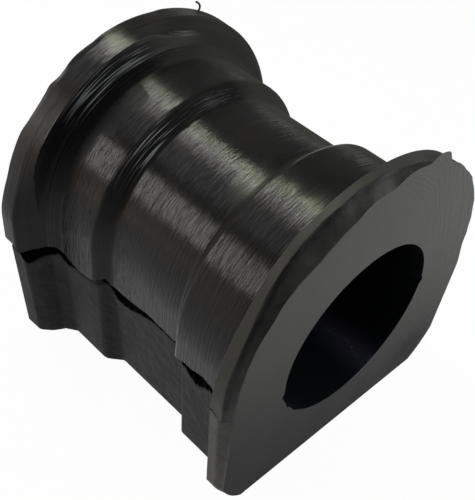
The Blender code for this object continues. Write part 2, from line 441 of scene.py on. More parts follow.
class Body:
    """The moulded block.

    Its arch runs from ARCH_START down by ARCH_SWEEP, both in degrees. ROW_CROWDING is the power that draws
    the left side's rows up towards the tears, and corners over SHARP_ANGLE degrees are shaded as edges.
    """

    ARCH_START = 180.0
    ARCH_SWEEP = 175.0
    ROW_CROWDING = 0.75
    SHARP_ANGLE = 38.0

    def __init__(self, sizes: Sizes, rows: Rows, rings: Rings, wear: Wear) -> None:
        """Keep the block's sizes.

        Args:
            sizes: The block's sizes.
            rows: The grid's rows.
            rings: The grid's rings.
            wear: The marks of making and wear.
        """
        self.sizes = sizes
        self.rows = rows
        self.rings = rings
        self.wear = wear
        self.graph: Graph
        self.size: dict[str, Value] = {}

    def _start_tree(self) -> bpy.types.NodeTree:
        """Make the tree with one named input for each size.

        Returns:
            The empty tree.
        """
        tree = bpy.data.node_groups.new("moulded_block", "GeometryNodeTree")
        tree.interface.new_socket("Mesh", in_out="OUTPUT", socket_type="NodeSocketGeometry")
        tree.interface.new_socket("Mesh", in_out="INPUT", socket_type="NodeSocketGeometry")
        for item in fields(self.sizes):
            title = item.name.replace("_", " ").capitalize()
            tree.interface.new_socket(title, in_out="INPUT", socket_type="NodeSocketFloat")
        self.graph = Graph(tree)
        source = tree.nodes.new("NodeGroupInput")
        for place, item in enumerate(fields(self.sizes), start=1):
            self.size[item.name] = Value(self.graph, source.outputs[place])
        return tree

    def _grid(self) -> Value:
        """Make a grid that is closed both ways, whose points are numbered row by row round each ring.

        Returns:
            The grid.
        """
        rings = self.graph.node("GeometryNodeCurvePrimitiveCircle", None,
                                {"Resolution": self.rings.total(), "Radius": 1.0})
        rows = self.graph.node("GeometryNodeCurvePrimitiveCircle", None,
                               {"Resolution": self.rows.total(), "Radius": 0.2})
        return self.graph.node("GeometryNodeCurveToMesh", None, {"Curve": rings, "Profile Curve": rows})

    def _drop(self, x: Value, full: bool = False) -> Value:
        """Depth of the lengthwise profile below the rim of the flanges.

        Args:
            x: Place along the bore.
            full: Whether the rear rim has its full bevel, as on the upper left of the arch.

        Returns:
            The depth.
        """
        size, wear = self.size, self.wear
        half = size["length"] / 2.0
        ring_place = size["rear_rim"] - half
        foot_place = ring_place + size["rear_bevel"] + size["rear_step"]
        bevel_run = size["full_bevel"] if full else size["rear_bevel"]
        bevel_drop = size["full_bevel_drop"] if full else size["bevel_drop"]
        step_place = ring_place + bevel_run
        crease_place = foot_place + size["rear_slope"]
        rear_wall = crease_place + size["rear_shoulder"]
        front_rim = half - size["front_rim"]
        front_wall = front_rim - size["front_slope"] - size["front_shoulder"]
        wall_drop = size["groove_drop"] - size["shoulder_drop"]

        rim = size["rim_drop"] * ((x + half) / size["rear_rim"]).held()
        bevel = self._ramp(x - ring_place, bevel_run, bevel_drop - size["rim_drop"], 0.05, 0.05)
        step = self._ramp(x - step_place, foot_place - step_place, size["step_drop"] - bevel_drop, 0.35, 0.5)
        slope_drop = size["shoulder_drop"] - size["step_drop"]
        slope = self._ramp(x - foot_place, size["rear_slope"], slope_drop, 0.4, 0.35)
        wall = self._ramp(x - rear_wall, size["groove_wall"], wall_drop, 0.8, 0.5)
        ring_line = wear.ring_depth * x.hump(ring_place, wear.ring_width)
        ring_line = ring_line + 0.6 * wear.ring_depth * x.hump(foot_place, 1.6 * wear.ring_width)
        marks = wear.turning_marks * x.within(wear.turned) * (x * wear.turning_rate).math("SINE")
        rear = rim + bevel + step + slope + wall + ring_line + marks

        cone = self._ramp(front_rim - x, size["front_slope"], size["shoulder_drop"], 0.25, 0.5)
        wall = self._ramp(front_wall - x, size["front_groove_wall"], wall_drop, 0.6, 0.5)
        rear_end = (1.0 - (x + half) / size["end_round"]).held()
        rounded = size["end_round"] * (1.0 - (1.0 - rear_end * rear_end).math("SQRT"))
        return rear.math("MINIMUM", cone + wall) + rounded

    @staticmethod
    def _ramp(run: Value, length: Value, rise: Value, soft_foot: float, soft_top: float) -> Value:
        """Height of a ramp at a run past its start: from 0 to the rise, with two softened corners."""
        height = run * rise / length
        return height.math("SMOOTH_MAX", 0.0, soft_foot).math("SMOOTH_MIN", rise, soft_top)

    def _arch_radius(self, x: Value, drop: Value, share: Value, angle: Value, chip: Value) -> Value:
        """Radius of the upper half about the arch's centre.

        Args:
            x: Place along the bore.
            drop: Depth of the lengthwise profile there.
            share: 1 on a flange's rim and 0 on the shoulders and in the groove.
            angle: Degrees from +Y.
            chip: Ragged noise.

        Returns:
            The radius.
        """
        size, wear = self.size, self.wear
        lean = size["front_lean"] * angle.eased(*wear.lean_turn) * (x > 0.0)
        flare = size["rear_flare"] * angle.eased(*wear.flare_turn) * (x < 0.0)
        moulded = size["arch_radius"] - drop + (flare - lean) * share
        half = size["length"] / 2.0
        start = (angle.along(wear.knife_start) + chip * wear.ragged).math("MINIMUM", half - 0.1)
        cut = angle.along(wear.knife_radius) + chip * wear.ragged
        reach = ((x - start) / (half - start)).held()
        chipped = angle.along(wear.rear_chips) * (1.0 + wear.chip_spread * chip)
        moulded = moulded - chipped * (1.0 - (x + half) / wear.rear_chip_reach).held()
        return self.graph.choose(reach, moulded, cut.math("MINIMUM", moulded + wear.knife_cap))

    def _side(self, x: Value, drop: Value, fall: Number, left: bool) -> Value:
        """Y of one side of the lower half.

        Args:
            x: Place along the bore.
            drop: Depth of the lengthwise profile there.
            fall: 0 at the joint line and 1 at the corner.
            left: Whether it is the -Y side.

        Returns:
            Y in millimetres.
        """
        size, wear = self.size, self.wear
        width = size["side_half_width"] - drop
        if not left:
            return size["side_shift"] + width
        trim = x.eased(*wear.trim_start) * (wear.trim_depth - wear.trim_loss * fall)
        width = width - size["left_taper"] * x / size["length"] - size["left_draft"] * fall - trim
        return size["side_shift"] - width

    def _share(self, row: Value, name: str) -> Value:
        """Share from 0 to 1 along one stretch of the section."""
        return ((row - float(self.rows.start(name))) / float(getattr(self.rows, name))).held()

    def _flank(self, x: Value, row: Value, drop: Value, share: Value, top_z: Value,
               left: bool) -> tuple[dict[str, tuple[Value, Value]], Value]:
        """One side of the lower half and the rounded corner under it.

        Args:
            x: Place along the bore.
            row: The row's number.
            drop: Depth of the lengthwise profile there.
            share: 1 on a flange's rim and 0 on the shoulders and in the groove.
            top_z: Z of the side's upper end.
            left: Whether it is the -Y side.

        Returns:
            Y and Z of both stretches by name, and Y of the corner's end on the base.
        """
        size = self.size
        name, mirror = ("left", -1.0) if left else ("right", 1.0)
        fall, bend = self._share(row, name + "_side"), self._share(row, name + "_corner")
        if left:
            fall, bend = 1.0 - fall.math("POWER", self.ROW_CROWDING), 1.0 - bend
        rest = 1.0 - bend
        big = share * (x > 0.0)
        width = (size["corner_width"] * big).math("MAXIMUM", size["small_corner"])
        height = (size["corner_height"] * big).math("MAXIMUM", size["small_corner"])
        bulge = 0.5 - 0.22 * big
        base_z = -size["axis_height"]
        knee_z = base_z + height
        foot_y = self._side(x, drop, 1.0, left)
        end_y = foot_y - mirror * width
        control_y = foot_y - mirror * width * (1.0 - bulge) * 0.5
        control_z = base_z + height * (1.0 - bulge) * 0.5
        corner_y = rest * rest * foot_y + 2.0 * bend * rest * control_y + bend * bend * end_y
        corner_z = rest * rest * knee_z + 2.0 * bend * rest * control_z + bend * bend * base_z
        side = (self._side(x, drop, fall, left), between(top_z, knee_z, fall))
        return {name + "_side": side, name + "_corner": (corner_y, corner_z)}, end_y

    def _section(self, x: Value, row: Value) -> tuple[Value, Value]:
        """The section's outline at x.

        Args:
            x: Place along the bore.
            row: The row's number.

        Returns:
            Y and Z in millimetres.
        """
        graph, size, wear = self.graph, self.size, self.wear
        drop = self._drop(x)
        share = 1.0 - (drop / size["shoulder_drop"]).math("MINIMUM", 1.0)
        angle = self.ARCH_START - self.ARCH_SWEEP * self._share(row, "arch")
        chip = graph.grain(graph.vector(x * 0.3, angle * 0.16, 0.0), 0.9, 2.0, 0.5, 3.0)
        arch_drop = graph.choose(angle.within(wear.full_bevel), drop, self._drop(x, True))
        radius = self._arch_radius(x, arch_drop, share, angle, chip)
        turn = angle.math("RADIANS")
        arch_y = size["arch_shift"] + radius * turn.math("COSINE")
        arch_z = size["arch_rise"] + radius * turn.math("SINE")

        run_noise = graph.grain(graph.vector(x, 0.0, 0.0), 0.55, 3.0, 0.6, 7.0)
        lip_noise = graph.grain(graph.vector(x, 8.0, 0.0), 1.1, 3.0, 0.65, 8.0)
        seam = x.along(wear.seam) + run_noise * wear.seam_wander
        height = x.along(wear.tear_height) * (1.0 + 0.10 * run_noise + 0.12 * lip_noise)
        floor_z = seam - height
        back_low, back_top = floor_z + wear.tear_floor * height, seam - wear.tear_roof * height
        skin_y = self._side(x, drop, 0.0, True)
        back_y = skin_y + x.along(wear.tear_depth)
        left_turn = graph.math("ADD", self.ARCH_START, 0.0)
        wall_y = size["arch_shift"] - self._arch_radius(x, drop, share, left_turn, chip)

        step, base = self._share(row, "step"), self._share(row, "base")
        lip, back, out = [self._share(row, name) for name in ("lower_lip", "tear_back", "upper_lip")]
        right_y = self._side(x, drop, 0.0, False)
        right, right_end = self._flank(x, row, drop, share, size["step_foot"], False)
        left, left_end = self._flank(x, row, drop, share, floor_z, True)
        step_y = between(arch_y, right_y, step.eased(0.0, 1.0))
        parts = {"step": (step_y, between(arch_z, size["step_foot"], step)),
                 "base": (between(right_end, left_end, base), -size["axis_height"]),
                 "lower_lip": (between(skin_y, back_y, lip), between(floor_z, back_low, lip)),
                 "tear_back": (back_y, between(back_low, back_top, back)),
                 "upper_lip": (between(back_y, wall_y, out), between(back_top, seam, out)),
                 **right, **left}
        y, z = arch_y, between(seam, arch_z, self._share(row, "left_wall"))
        for name in sorted(parts, key=self.rows.start):
            begun = row > self.rows.start(name) - 0.5
            part_y, part_z = parts[name]
            y, z = graph.choose(begun, y, part_y), graph.choose(begun, z, part_z)
        return y, z

    def make(self, finishes: dict[Zone, bpy.types.Material]) -> bpy.types.Object:
        """Build the tree, run it and keep its mesh.

        Args:
            finishes: The material of each surface.

        Returns:
            The finished block.
        """
        tree = self._start_tree()
        graph, size = self.graph, self.size
        index = graph.node("GeometryNodeInputIndex")
        row_count = float(self.rows.total())
        ring = ((index + 0.5) / row_count).math("FLOOR")
        row = index - ring * row_count
        half = size["length"] / 2.0

        face_start = float(self.rings.skin - 1)
        bore_start = face_start + self.rings.front_face
        rear_start = bore_start + self.rings.bore
        x = (ring / face_start).along(self.wear.ring_spacing)
        face_share = ((ring - face_start) / float(self.rings.front_face)).held()
        bore_share = ((ring - bore_start) / float(self.rings.bore)).held()
        rear_share = ((ring - rear_start) / float(self.rings.rear_face + 1)).held()
        bore_turn = (row / row_count).along(self.wear.bore_turns)
        bore_noise = graph.grain(graph.vector(bore_turn * 0.12, 0.0, 0.0), 1.0, 3.0, 0.6, 17.0)
        nick = bore_turn.along(self.wear.mouth_nicks) * (1.0 + self.wear.nick_spread * bore_noise)
        nick = nick * (1.0 - bore_share * 2.0 * half / self.wear.nick_reach).held()
        turn = bore_turn.math("RADIANS")
        bore_y = (size["bore_radius"] + nick) * turn.math("COSINE")
        bore_z = (size["bore_radius"] + nick) * turn.math("SINE")

        on_rear = ring > rear_start + 0.5
        end_x = graph.choose(on_rear, x, -half)
        end_y, end_z = self._section(end_x, row)
        inward = graph.choose(on_rear, face_share, 1.0 - rear_share)
        x = x - 2.0 * half * bore_share
        y, z = between(end_y, bore_y, inward), between(end_z, bore_z, inward)

        place = graph.vector(x * MM, y * MM, (z + size["axis_height"]) * MM)
        mesh = graph.node("GeometryNodeSetPosition", None, {"Geometry": self._grid(), "Position": place})
        mesh = graph.node("GeometryNodeFlipFaces", None, {"Mesh": mesh})
        mesh = graph.node("GeometryNodeRealizeInstances", None, {"Geometry": mesh})
        face = graph.node("GeometryNodeInputIndex")
        face_ring = ((face + 0.5) / row_count).math("FLOOR")
        face_row = face - face_ring * row_count
        picks = {Zone.SKIN: face_ring > -1.0,
                 Zone.LOWER: face_row > self.rows.start("right_side") - 0.5,
                 Zone.TORN: face_row > self.rows.start("lower_lip") - 0.5,
                 Zone.FRONT_FACE: face_ring > face_start - 0.5,
                 Zone.BORE: face_ring > bore_start - 0.5,
                 Zone.REAR_FACE: face_ring > rear_start - 0.5}
        for zone, pick in picks.items():
            sockets = {"Geometry": mesh, "Selection": pick, "Material": finishes[zone]}
            mesh = graph.node("GeometryNodeSetMaterial", None, sockets)
        output = tree.nodes.new("NodeGroupOutput")
        tree.links.new(mesh.socket, output.inputs[0])
        return self._run(tree)

    def _run(self, tree: bpy.types.NodeTree) -> bpy.types.Object:
        """Run the tree on an empty mesh and keep what it makes.

        Args:
            tree: The finished tree.

        Returns:
            A plain mesh object.
        """
        holder = bpy.data.objects.new("block_maker", bpy.data.meshes.new("block_maker"))
        maker = holder.modifiers.new("moulded_block", "NODES")
        maker.node_group = tree
        inputs = [item.identifier for item in tree.interface.items_tree if item.in_out == "INPUT"]
        for identifier, item in zip(inputs[1:], fields(self.sizes)):
            maker[identifier] = getattr(self.sizes, item.name)
        body = keep_mesh(holder, "bushing_body")
        body.data.set_sharp_from_angle(angle=math.radians(self.SHARP_ANGLE))
        return body


@dataclass(frozen=True)
class FlashThread:
    """A thin hook of flash that is rooted on top of the rear rim and curls back over it."""

    place: float = -24.4
    route: Route = ((67.6, 26.5), (68.0, 27.4), (69.0, 28.0), (70.4, 28.4), (71.8, 28.6))
    thickness: float = 0.17
    lean: float = 0.5

    def make(self, sizes: Sizes, finish: bpy.types.Material) -> bpy.types.Object:
        """Bend the thread and keep its mesh.

        Args:
            sizes: The block's sizes.
            finish: The thread's material.

        Returns:
            A plain mesh object.
        """
        curve = bpy.data.curves.new("flash_thread", "CURVE")
        curve.dimensions = "3D"
        curve.bevel_depth = self.thickness * MM
        curve.bevel_resolution = 2
        curve.use_fill_caps = True
        spline = curve.splines.new("BEZIER")
        spline.bezier_points.add(len(self.route) - 1)
        for point, (angle, radius) in zip(spline.bezier_points, self.route):
            turn = math.radians(angle)
            x = self.place + self.lean * (radius - self.route[0][1])
            y = sizes.arch_shift + radius * math.cos(turn)
            z = sizes.arch_rise + radius * math.sin(turn) + sizes.axis_height
            point.co = (x * MM, y * MM, z * MM)
            point.handle_left_type = point.handle_right_type = "AUTO"
        thread = keep_mesh(bpy.data.objects.new("thread_maker", curve), "flash_thread")
        thread.data.materials.clear()
        thread.data.materials.append(finish)
        return thread


@dataclass(frozen=True)
class Spot:
    """A small patch of the surface, by its place from the bore's axis at mid-length."""

    x: float
    y: float
    z: float
    reach: float


class Coat:
    """A material in the making: its graph, its shader and the place that it is read at."""

    DULL_ROUGHNESS = 0.8
    DULL_SPECULAR = 0.04

    def __init__(self, name: str, specular: float) -> None:
        """Start a material.

        Args:
            name: The material's name.
            specular: How strongly its surface mirrors light.
        """
        self.material = bpy.data.materials.new(name)
        self.material.use_nodes = True
        self.graph = Graph(self.material.node_tree)
        self.shader = self.material.node_tree.nodes["Principled BSDF"]
        self.graph.feed(self.shader, {"Specular IOR Level": specular})
        place = self.graph.node("ShaderNodeTexCoord", None, None, "Object")
        split = self.graph.node("ShaderNodeSeparateXYZ", None, {0: place})
        self.x = split / MM
        self.y = split.other("Y") / MM
        self.z = split.other("Z") / MM - Sizes.axis_height
        self.place = self.graph.vector(self.x, self.y, self.z)

    def near(self, spot: Spot) -> Value:
        """1 in the middle of a spot, fading to 0 round it."""
        off = [(axis - middle) / spot.reach for axis, middle in
               ((self.x, spot.x), (self.y, spot.y), (self.z, spot.z))]
        return self.graph.math("EXPONENT", -(off[0] * off[0] + off[1] * off[1] + off[2] * off[2]))

    def nearest(self, spots: tuple[Spot, ...]) -> Value:
        """1 in the middle of any of the spots, fading to 0 round them."""
        return reduce(lambda most, share: most.math("MAXIMUM", share), map(self.near, spots))

    def finish(self, colour: Value, rough: Value, height: Value, depth: float) -> bpy.types.Material:
        """Join what was made to the shader.

        Args:
            colour: The surface's colour.
            rough: Its roughness.
            height: Height of its fine relief.
            depth: How deep that relief is, in millimetres.

        Returns:
            The material.
        """
        sockets = {"Strength": 1.0, "Distance": depth * MM, "Height": height}
        bump = self.graph.node("ShaderNodeBump", None, sockets, "Normal")
        self.graph.feed(self.shader, {"Normal": bump, "Base Color": colour, "Roughness": rough})
        return self.material

    def dulled(self, share: Value, colour: Colour) -> bpy.types.Material:
        """Lay a dull, dusty finish over part of a finished material.

        Args:
            share: 1 where the surface is dull and 0 where it keeps its finish.
            colour: The dull colour.

        Returns:
            The material.
        """
        normal = Value(self.graph, self.shader.inputs["Normal"].links[0].from_socket)
        sockets = {"Base Color": (*colour, 1.0), "Roughness": self.DULL_ROUGHNESS,
                   "Specular IOR Level": self.DULL_SPECULAR, "Normal": normal}
        self.graph.cover(share, self.graph.node("ShaderNodeBsdfPrincipled", None, sockets))
        return self.material


@dataclass(frozen=True)
class MouldedRubber:
    """The shiny outside above the joint line, where a lathe-turned mould left fine rings and scratches. Its
    colour also holds painted shade, painted highlights, painted glints and a painted reflection.
    """

    knife_start: Route
    seam: Route
    colour: Colour = (0.0050, 0.0050, 0.0056)
    worn: Colour = (0.0125, 0.0120, 0.0112)
    # Painted light: a lighter colour laid on the groove's front wall and the rear valley's upper slopes.
    scuffed: Colour = (0.030, 0.030, 0.028)
    # Painted shade: near black laid in the rear valley, in the creases, along the joint line and at the
    # knife's start.
    sooty: Colour = (0.0007, 0.0009, 0.0018)
    # Painted reflection: a warm tint laid in a band under the lower highlight, where it fades.
    brown: Colour = (0.0120, 0.0090, 0.0066)
    rim: Colour = (0.030, 0.030, 0.027)
    dull: Colour = (0.030, 0.030, 0.028)
    fleck: Colour = (0.36, 0.38, 0.37)
    # Painted glints: a light colour laid in lines on the step and the groove's rear wall, where turning marks
    # catch the lamps.
    streak: Colour = (0.24, 0.25, 0.26)
    # Painted highlight: a greenish colour laid on patches of the upper highlight.
    green: Colour = (0.080, 0.086, 0.066)
    shine: float = 0.17
    mean_radius: float = 22.0
    step: Band = (-19.9, -19.7, -19.0, -18.7)
    wall: Band = (-9.3, -8.8, -7.2, -6.7)
    # Where the groove's front wall takes painted light.
    front_wall: Band = (9.0, 9.5, 10.9, 11.3)
    pale_valley: Band = (-22.0, -21.4, -17.6, -17.0)
    # Angles where the painted shade of the rear valley and of the groove's rear wall lies.
    soot_turn: Band = (94.0, 106.0, 160.0, 176.0)
    wall_soot_turn: Band = (104.0, 128.0, 160.0, 170.0)
    soot_start: Reach = (-19.9, -19.6)
    rim_start: Reach = (21.6, 22.1)
    dull_turn: Reach = (66.0, 82.0)
    pale_turn: Reach = (92.0, 104.0)
    # Angles from which the creases' painted shade sets in.
    crease_turn: Reach = (146.0, 160.0)
    # Angles below which the colour is painted darker, as shade.
    low_turn: Reach = (154.0, 166.0)
    relief: float = 0.050
    # Front edge of the rear valley's painted shade, by angle.
    soot_edge: Route = (
        (60.0, -17.6), (100.0, -17.3), (108.0, -17.2), (110.5, -13.8), (117.0, -13.4), (120.0, -14.5),
        (131.0, -13.5), (134.0, -15.8), (141.0, -15.6), (150.0, -16.4), (160.0, -16.9), (170.0, -18.2),
        (184.0, -18.6))
    # How strongly the painted glints show on the groove's rear wall and on the step, by angle.
    wall_streaks: Route = (
        (60.0, 0.0), (84.0, 0.0), (102.0, 0.06), (112.0, 0.2), (118.0, 0.9), (130.0, 0.9), (138.0, 0.2),
        (150.0, 0.0), (184.0, 0.0))
    step_streaks: Route = (
        (60.0, 0.0), (96.0, 0.0), (102.0, 0.6), (112.0, 0.5), (117.0, 1.0), (126.0, 1.0), (131.0, 0.4),
        (140.0, 0.0), (184.0, 0.0))
    spots: tuple[Spot, ...] = (
        Spot(-8.0, -14.5, 19.3, 2.0), Spot(-16.6, -12.0, 21.6, 2.0), Spot(-5.6, -13.6, 17.6, 1.4),
        Spot(-11.0, -23.2, -3.6, 1.8), Spot(-15.4, -14.6, 19.9, 1.4))
    # Places where a painted highlight brightens the upper highlight.
    scuffs: tuple[Spot, ...] = (
        Spot(8.0, -8.7, 20.3, 2.4), Spot(18.4, -7.9, 22.9, 1.9), Spot(14.2, -7.7, 22.9, 1.2),
        Spot(-16.4, -7.3, 23.0, 1.0), Spot(-21.6, -9.0, 27.6, 1.4))

    def make(self) -> bpy.types.Material:
        """Build the material.

        Returns:
            The material.
        """
        coat = Coat("moulded_rubber", 0.15)
        graph = coat.graph
        off_y, off_z = coat.y - Sizes.arch_shift, coat.z - Sizes.arch_rise
        angle = graph.math("ARCTAN2", off_z, off_y)
        radius = (off_y * off_y + off_z * off_z).math("SQRT")
        degrees = angle * math.degrees(1.0) + 360.0 * (angle < -math.pi / 2.0)
        arc = degrees * math.radians(self.mean_radius)
        rings = graph.grain(graph.vector(coat.x * 2.4, arc * 0.05, 0.0), 1.0, 3.0, 0.6, 1.0)
        scratches = graph.grain(graph.vector(coat.x * 5.0, arc * 0.17, 4.0), 1.0, 2.0, 0.6, 2.0)
        dents = graph.grain(coat.place, 0.5, 4.0, 0.55, 3.0)
        cloud = graph.grain(coat.place, 0.13, 4.0, 0.6, 5.0)
        patches = graph.grain(graph.vector(coat.x * 0.35, arc * 0.25, 9.0), 1.0, 3.0, 0.6, 10.0)
        dust = graph.grain(coat.place, 4.0, 1.0, 0.5, 6.0)
        flakes = graph.grain(graph.vector(coat.x * 3.0 + arc * 1.4, arc * 1.0, 0.0), 1.0, 3.0, 0.7, 15.0)
        lines = graph.grain(graph.vector((coat.x - radius * 0.7) * 3.4, arc * 0.13, 6.0), 1.0, 1.0, 0.5, 18.0)

        # Mask of the painted highlight patches.
        scuffed = coat.nearest(self.scuffs)
        specks = flakes.eased(0.4, 1.1) * (coat.nearest(self.spots) + dents * 0.35).eased(0.15, 0.9) * 0.45
        specks = (specks + dust.eased(1.15, 1.35) * 0.5).held()

        step, wall = coat.x.within(self.step), coat.x.within(self.wall)
        # Painted shade in the rear valley behind an edge that moves with the angle, and on the groove's rear
        # wall.
        past_shade_edge = (coat.x - degrees.along(self.soot_edge) - patches * 0.35).eased(-0.5, 0.9)
        valley_shade = coat.x.eased(*self.soot_start) * (1.0 - past_shade_edge) * degrees.within(self.soot_turn)
        valley_shade = valley_shade.math("MAXIMUM", wall * degrees.within(self.wall_soot_turn) * 0.85)
        # Painted glints in lines across the groove's rear wall and the step, at the angles where they would
        # catch the lamps.
        glint_streaks = wall * degrees.along(self.wall_streaks)
        glint_streaks = glint_streaks.math("MAXIMUM", step * degrees.along(self.step_streaks)) * lines.eased(0.0, 0.65)
        # Painted shade in the ring line, at the step's foot and in the shoulder's crease.
        crease_shade = coat.x.hump(-19.5, 0.35) + coat.x.hump(-17.6, 0.3) + 0.6 * coat.x.hump(-21.6, 0.25)
        crease_shade = crease_shade * degrees.eased(*self.crease_turn)
        # Painted light on the rear valley's upper slopes and on the groove's front wall.
        pale_valley = coat.x.within(self.pale_valley) * (1.0 - degrees.eased(*self.pale_turn))
        painted_lift = (coat.x.within(self.front_wall) * 0.2).math("MAXIMUM", pale_valley * 0.5)
        # Painted reflection: a warm band along the arch just under the lower highlight.
        warm_sheen = degrees.hump(150.0, 12.0)
        # Painted shade: below these angles the colour goes back to the bare black.
        low = degrees.eased(*self.low_turn)

        colour = graph.tint((cloud * 0.5 + 0.4).held(), self.colour, self.worn)
        colour = graph.tint((warm_sheen * 0.55 + cloud * 0.25).held(), colour, self.brown)
        colour = graph.tint(low * 0.7, colour, self.colour)
        colour = graph.tint(painted_lift, colour, self.scuffed)
        # Painted highlight on those patches, streaked by the scratches.
        colour = graph.tint((scuffed * (0.65 + scratches * 0.35)).held(), colour, self.green)
        # Painted shade along the joint line on the left side, where the upper half overhangs the lower.
        joint_shade = (coat.z - coat.x.along(self.seam)).hump(0.0, 0.42) * (coat.y < 0.0)
        # The painted shade of the valley, the creases and the joint line, laid in near black.
        dark = valley_shade.math("MAXIMUM", (crease_shade.held() * 0.9).math("MAXIMUM", joint_shade))
        colour = graph.tint(dark, colour, self.sooty)
        colour = graph.tint(glint_streaks.held(), colour, self.streak)

        start = degrees.along(self.knife_start)
        rim = coat.x.eased(*self.rim_start)
        knife = (coat.x - start).eased(-0.05, 0.25)
        # Painted shade in the concave corner where the knife cut meets the front rim.
        corner_shade = (coat.x - start - 0.25 - patches * 0.12).hump(0.0, 0.28)
        colour = graph.tint(rim * (1.0 - knife), colour, self.rim)
        colour = graph.tint(knife, colour, graph.tint(patches.eased(-0.3, 0.9) * 0.8, self.worn, self.rim))
        colour = graph.tint(corner_shade * rim * degrees.eased(84.0, 92.0) * 0.95, colour, self.sooty)
        colour = graph.tint(specks * 0.75, colour, self.fleck)

        rough = self.shine + cloud * 0.03 + scratches.eased(0.3, 1.1) * 0.16
        rough = rough + 0.22 * (1.0 - coat.x.eased(-20.2, -19.8)) * degrees.eased(124.0, 136.0)
        # Roughness also rises where the valley's shade is painted.
        rough = rough + valley_shade * 0.30 + step * (1.0 - degrees.eased(96.0, 104.0)) * 0.35
        rough = graph.choose(rim, rough, 0.46 + patches * 0.06)
        relief = rings * 0.30 + scratches * (0.34 + 0.30 * patches.held()) + dents * 0.12
        coat.finish(colour, rough, relief * (1.0 - rim * 0.8) + dents * rim * 0.5, self.relief)
        return coat.dulled(1.0 - (degrees + patches * 3.0).eased(*self.dull_turn), self.dull)


@dataclass(frozen=True)
class DullRubber:
    """The lower half below the joint line: dull, pitted and a little dusty, with painted shade under the
    ledge.
    """

    seam: Route
    tear_height: Route
    colour: Colour = (0.035, 0.0355, 0.036)
    dark: Colour = (0.019, 0.020, 0.022)
    # Dust, also used for the lip's painted highlight.
    dusty: Colour = (0.105, 0.105, 0.104)
    # Near black for the pits and for the painted shade under the ledge.
    black: Colour = (0.002, 0.0021, 0.0022)
    wall: Band = (-12.2, -10.6, -8.2, -7.0)
    # Least depth of the painted shade under the ledge.
    ledge_depth: float = 1.35
    shine: float = 0.66

    def make(self) -> bpy.types.Material:
        """Build the material.

        Returns:
            The material.
        """
        coat = Coat("dull_rubber", 0.10)
        graph = coat.graph
        pits = graph.grain(coat.place, 0.85, 4.0, 0.65, 4.0)
        dents = graph.grain(coat.place, 0.45, 3.0, 0.5, 3.0)
        cloud = graph.grain(coat.place, 0.16, 4.0, 0.6, 5.0)
        left = coat.y < 0.0
        reach = coat.x.along(self.tear_height).math("MAXIMUM", self.ledge_depth)
        below = coat.x.along(self.seam) - reach - coat.z
        # Painted shade: a near black band under the upper half's ledge on the left side.
        ledge_shade = (1.0 - (below + pits * 0.12).eased(0.05, 0.4)) * left * (1.0 - coat.x.eased(20.6, 21.4))
        # A lighter strip just under the shaded band: partly scuffs on the lip, partly a painted highlight on
        # its ridge.
        lip_scuff_and_sheen = (below + dents * 0.5).hump(1.3, 0.9) * left * pits.eased(-0.2, 0.8)
        dust_and_sheen = coat.x.eased(20.6, 21.8) * 0.75 + lip_scuff_and_sheen * 0.35 + pits.eased(0.9, 1.5) * 0.3
        colour = graph.tint((cloud * 0.5 + 0.4).held(), self.colour, self.dark)
        colour = graph.tint(coat.x.within(self.wall) * 0.75, colour, self.dark)
        colour = graph.tint(dust_and_sheen.held(), colour, self.dusty)
        colour = graph.tint((pits.hump(-1.1, 0.25) * 0.5 + ledge_shade).held(), colour, self.black)
        return coat.finish(colour, self.shine + pits * 0.05, pits * 0.7 + dents * 1.2, 0.08)


@dataclass(frozen=True)
class TornRubber:
    """The raw rubber inside the tears: black and crumbly."""

    colour: Colour = (0.003, 0.0032, 0.0034)
    crumb: Colour = (0.02, 0.02, 0.02)
    shine: float = 0.8

    def make(self) -> bpy.types.Material:
        """Build the material.

        Returns:
            The material.
        """
        coat = Coat("torn_rubber", 0.06)
        crumbs = coat.graph.grain(coat.place, 2.4, 4.0, 0.7, 9.0)
        colour = coat.graph.tint(crumbs.eased(0.7, 1.5), self.colour, self.crumb)
        return coat.finish(colour, self.shine + crumbs * 0.05, crumbs, 0.25)


@dataclass(frozen=True)
class CutRubber:
    """The knife-cut front face: dull grey, with faint bowed marks where the blade went round."""

    name: str = "cut_rubber"
    colour: Colour = (0.104, 0.105, 0.102)
    dark: Colour = (0.046, 0.0465, 0.048)
    stained: Colour = (0.030, 0.031, 0.034)
    shine: float = 0.78
    specular: float = 0.06
    # Heights over which the face's colour is painted lighter towards the top right.
    fade: Reach = (-28.0, 16.0)
    stain: Spot = Spot(25.2, 20.3, -19.5, 6.0)
    marks_middle: tuple[float, float] = (-14.0, 4.0)
    marks_reach: Reach = (24.0, 33.0)

    def make(self) -> bpy.types.Material:
        """Build the material.

        Returns:
            The material.
        """
        coat = Coat(self.name, self.specular)
        graph = coat.graph
        off_y, off_z = coat.y - self.marks_middle[0], coat.z - self.marks_middle[1]
        reach = (off_y * off_y + off_z * off_z).math("SQRT")
        drift = graph.grain(coat.place, 0.09, 2.0, 0.5, 11.0)
        bowed = graph.vector((reach + drift * 1.2) * 2.2, 0.0, coat.z * 0.05)
        marks = graph.grain(bowed, 1.0, 2.0, 0.6, 12.0) * reach.eased(*self.marks_reach)
        cloud = graph.grain(coat.place, 0.12, 3.0, 0.5, 13.0)
        fine = graph.grain(coat.place, 3.0, 3.0, 0.6, 14.0)
        # Darker towards the bottom and lighter towards the top right: partly painted light standing in for
        # the lamps' fall-off, partly darker rubber.
        height = (coat.z + coat.y * 0.35).eased(*self.fade)
        colour = graph.tint((height + cloud * 0.10).held(), self.dark, self.colour)
        colour = graph.tint(coat.near(self.stain) * 0.7, colour, self.stained)
        return coat.finish(colour, self.shine + fine * 0.03, marks * 1.2 + fine * 0.25 + cloud * 0.8, 0.05)


